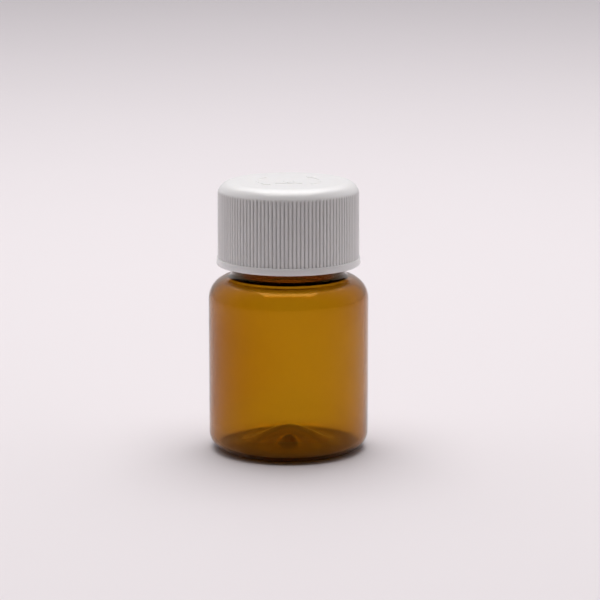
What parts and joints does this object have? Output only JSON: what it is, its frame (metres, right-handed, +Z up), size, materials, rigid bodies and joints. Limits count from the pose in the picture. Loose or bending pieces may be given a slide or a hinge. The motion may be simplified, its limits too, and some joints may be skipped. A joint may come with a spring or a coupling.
{
  "type": "prescription vial",
  "caption": "Small amber see-through bottle with a white ribbed push-and-turn child-resistant screw closure, for tablets or capsules.",
  "frame": {"origin": "centre of the base, on the surface that the bottle stands on", "axes": "+Z up along the bottle's and the closure's common axis"},
  "size_m": [0.0376, 0.0376, 0.0637],
  "materials": {
    "amber_pet": "clear amber, glossy",
    "foam_wad": "matt foam",
    "natural_polypropylene": "satin",
    "spring_polypropylene": "satin",
    "white_polypropylene": "satin, fine ribs round the skirt"
  },
  "bodies": {
    "bottle": {"bottle": "amber_pet"},
    "liner": {"liner": "foam_wad"},
    "inner_cap": {"inner_cap": "natural_polypropylene"},
    "spring_ring": {"spring_ring": "spring_polypropylene"},
    "outer_cap": {"outer_cap": "white_polypropylene"}
  },
  "joints": [
    {"name": "cap_lift", "type": "slide", "parent": "bottle", "child": "liner", "axis": [0, 0, 1], "range_m": [0, 0.0148]},
    {"name": "cap_turn", "type": "hinge", "parent": "liner", "child": "inner_cap", "pos_m": [0, 0, 0.057], "axis": [0, 0, 1], "range_deg": [0, 1260]},
    {"name": "outer_cap_spin", "type": "hinge", "parent": "inner_cap", "child": "spring_ring", "pos_m": [0, 0, 0.0597], "axis": [0, 0, 1], "continuous": true},
    {"name": "push_down", "type": "slide", "parent": "spring_ring", "child": "outer_cap", "axis": [0, 0, -1], "range_m": [0, 0.0013], "stiffness_N_per_m": 400, "springref_m": -0.0005, "deforming": ["spring_ring"]}
  ],
  "couplings": [
    {"joint": "cap_turn", "follows": "cap_lift", "rad_per_m": 1484.2}
  ]
}
